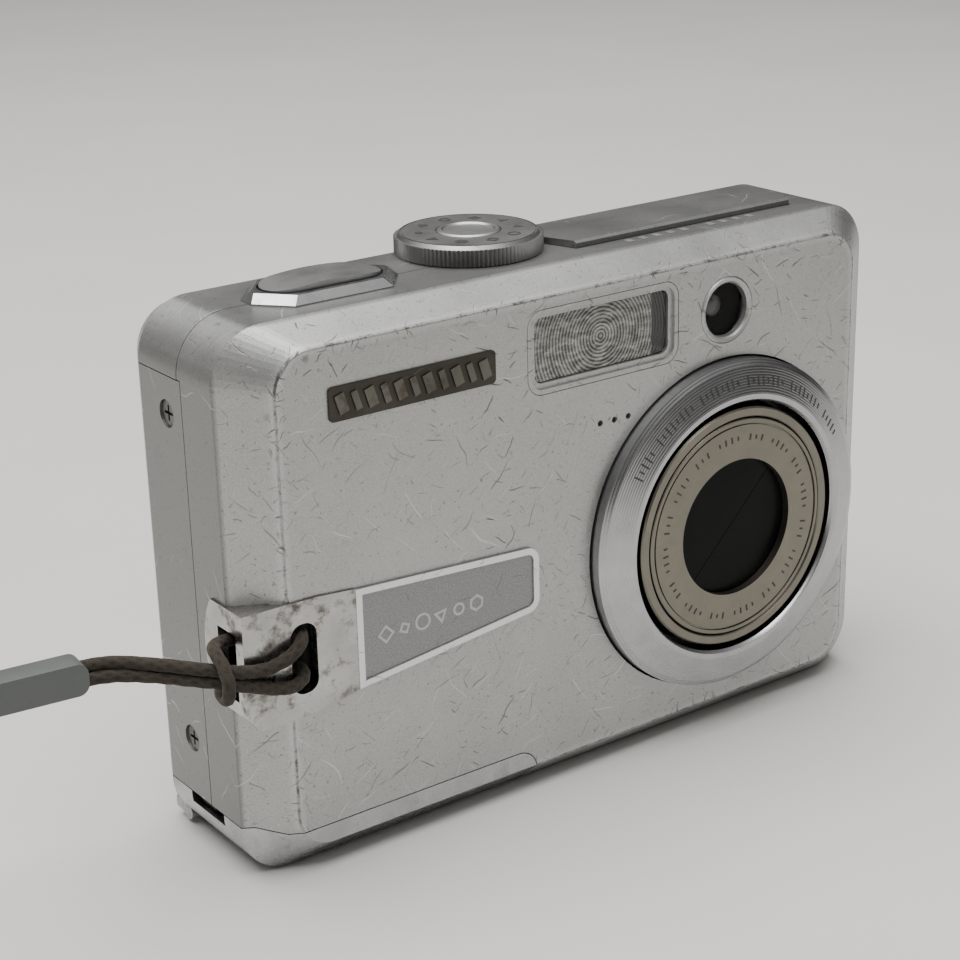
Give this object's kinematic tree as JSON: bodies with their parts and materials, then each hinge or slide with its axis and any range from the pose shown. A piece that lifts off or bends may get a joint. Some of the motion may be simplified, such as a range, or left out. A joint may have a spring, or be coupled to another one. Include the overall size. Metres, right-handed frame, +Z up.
{
  "type": "compact digital camera",
  "caption": "Pocket digital camera with a retracting zoom lens, mode dial, flash, rear screen and keys, battery door and a wrist strap lug holding a cord and clip.",
  "frame": {"origin": "middle of the body's footprint, at the level of its flat bottom", "axes": "+X to the right as seen from the front (from the strap lug towards the lens side), -Y out of the lens, +Z up"},
  "size_m": [0.1208, 0.0269, 0.0627],
  "materials": {
    "silver_paint": "satin silver paint on moulded covers, scratched, chipped dark along the front edges",
    "chrome_trim": "bright plating, hazed and finely scratched",
    "turned_ring": "fine concentric turning lines with a bright lip",
    "champagne": "satin champagne anodised barrels",
    "black_plastic": "fine-grained matte black",
    "bronze_plate": "dark bronze plate with worn raised pattern",
    "clear_window": "clear moulded plastic",
    "dark_glass": "dark coated glass",
    "steel": "plain bright steel",
    "circuit": "green solder mask",
    "brass": "plain brass",
    "cell_wrap": null,
    "cord_brown": "braided brown cord, fuzzy and worn",
    "clip_grey": "moulded grey plastic",
    "dark_rubber": "soft dark rubber",
    "silver_keys": "silver painted keys",
    "dial_grey": "satin grey metal dial with fine ridges",
    "green_key": "green tinted key",
    "grey_flap": "moulded soft grey flap"
  },
  "bodies": {
    "body": {"front_cover": "silver_paint", "rear_cover": "silver_paint", "top_cover": "silver_paint", "door_hinge_pin": "steel", "strap_lug": "chrome_trim", "model_badge": "chrome_trim", "name_plate": "bronze_plate", "lens_ring": "turned_ring", "lens_housing": "black_plastic", "rear_lens": "clear_window", "image_sensor": "circuit", "zoom_motor": "steel", "flash_bezel": "silver_paint", "flash_window": "clear_window", "flash_reflector": "chrome_trim", "flash_tube": "clear_window", "flash_capacitor": "black_plastic", "finder_ring": "silver_paint", "finder_window": "clear_window", "finder_tube": "black_plastic", "finder_lens": "clear_window", "eyepiece_window": "clear_window", "microphone": "steel", "shutter_bezel": "chrome_trim", "shutter_switch": "black_plastic", "dial_switch": "black_plastic", "lcd_window": "dark_glass", "lcd_panel": "dark_glass", "key_board": "circuit", "usb_jack": "steel", "cable_plug": "dark_rubber", "tripod_bush": "brass", "cover_screws": "steel", "chassis_plate": "steel", "battery_box": "black_plastic", "battery_cells": "cell_wrap", "card_slot": "steel", "main_board": "circuit", "strap_cord": "cord_brown", "strap_clip": "clip_grey"},
    "lens_outer": {"outer_barrel": "champagne"},
    "lens_inner": {"inner_barrel": "champagne", "front_lens": "clear_window"},
    "blade_upper": {"barrier_blade_upper": "black_plastic"},
    "blade_lower": {"barrier_blade_lower": "black_plastic"},
    "shutter": {"shutter_button": "silver_keys"},
    "dial": {"mode_dial": "dial_grey", "dial_cap": "silver_keys"},
    "door_slider": {"door_hinge_sleeve": "steel"},
    "door": {"battery_door": "chrome_trim", "door_contacts": "brass"},
    "zoom_key": {"zoom_rocker": "silver_keys"},
    "pad_carrier": {"pad_ring": "black_plastic"},
    "pad": {"four_way_pad": "silver_keys"},
    "ok_key": {"ok_button": "silver_keys"},
    "playback_key": {"playback_button": "silver_keys"},
    "menu_key": {"menu_button": "silver_keys"},
    "power_key": {"power_button": "silver_keys"},
    "mode_key": {"mode_button": "green_key"},
    "jack_flap": {"jack_cover": "grey_flap"}
  },
  "joints": [
    {"name": "lens_extend", "type": "slide", "parent": "body", "child": "lens_outer", "axis": [0, -1, 0], "range_m": [0, 0.011]},
    {"name": "lens_zoom", "type": "slide", "parent": "lens_outer", "child": "lens_inner", "axis": [0, -1, 0], "range_m": [0, 0.008]},
    {"name": "blade_upper_open", "type": "hinge", "parent": "lens_inner", "child": "blade_upper", "pos_m": [0.02587, -0.01137, 0.03393], "axis": [0, 1, 0], "range_deg": [0, 16]},
    {"name": "blade_lower_open", "type": "hinge", "parent": "lens_inner", "child": "blade_lower", "pos_m": [0.01413, -0.01137, 0.01767], "axis": [0, 1, 0], "range_deg": [0, 16]},
    {"name": "shutter_press", "type": "slide", "parent": "body", "child": "shutter", "axis": [0, 0, -1], "range_m": [0, 0.0008], "stiffness_N_per_m": 1500, "springref_m": -0.0005},
    {"name": "dial_turn", "type": "hinge", "parent": "body", "child": "dial", "pos_m": [-0.0059, 0.0034, 0.0615], "axis": [0, 0, 1], "continuous": true},
    {"name": "door_slide", "type": "slide", "parent": "body", "child": "door_slider", "axis": [-1, 0, 0], "range_m": [0, 0.0025]},
    {"name": "door_swing", "type": "hinge", "parent": "door_slider", "child": "door", "pos_m": [-0.027, 0.00795, 0.0014], "axis": [1, 0, 0], "range_deg": [0, 90]},
    {"name": "zoom_tilt", "type": "hinge", "parent": "body", "child": "zoom_key", "pos_m": [-0.03, 0.01055, 0.0498], "axis": [0, 0, 1], "range_deg": [-3, 3], "stiffness_Nm_per_rad": 0.05},
    {"name": "pad_rock_vertical", "type": "hinge", "parent": "body", "child": "pad_carrier", "pos_m": [-0.026, 0.01065, 0.027], "axis": [1, 0, 0], "range_deg": [-3, 3], "stiffness_Nm_per_rad": 0.05},
    {"name": "pad_rock_sideways", "type": "hinge", "parent": "pad_carrier", "child": "pad", "pos_m": [-0.026, 0.01065, 0.027], "axis": [0, 0, 1], "range_deg": [-3, 3], "stiffness_Nm_per_rad": 0.05},
    {"name": "ok_press", "type": "slide", "parent": "body", "child": "ok_key", "axis": [0, -1, 0], "range_m": [0, 0.0003], "stiffness_N_per_m": 800, "springref_m": -0.0003},
    {"name": "playback_press", "type": "slide", "parent": "body", "child": "playback_key", "axis": [0, -1, 0], "range_m": [0, 0.0003], "stiffness_N_per_m": 800, "springref_m": -0.0003},
    {"name": "menu_press", "type": "slide", "parent": "body", "child": "menu_key", "axis": [0, -1, 0], "range_m": [0, 0.0003], "stiffness_N_per_m": 800, "springref_m": -0.0003},
    {"name": "power_press", "type": "slide", "parent": "body", "child": "power_key", "axis": [0, -1, 0], "range_m": [0, 0.0003], "stiffness_N_per_m": 800, "springref_m": -0.0003},
    {"name": "mode_press", "type": "slide", "parent": "body", "child": "mode_key", "axis": [0, -1, 0], "range_m": [0, 0.0003], "stiffness_N_per_m": 800, "springref_m": -0.0003},
    {"name": "jack_flap_open", "type": "hinge", "parent": "body", "child": "jack_flap", "pos_m": [0.04395, 0.0065, 0.027], "axis": [0, 0, 1], "range_deg": [0, 90]}
  ],
  "couplings": [
    {"joint": "lens_zoom", "follows": "lens_extend", "ratio": 0.7272},
    {"joint": "blade_upper_open", "follows": "lens_extend", "rad_per_m": 25.38},
    {"joint": "blade_lower_open", "follows": "lens_extend", "rad_per_m": 25.38}
  ]
}
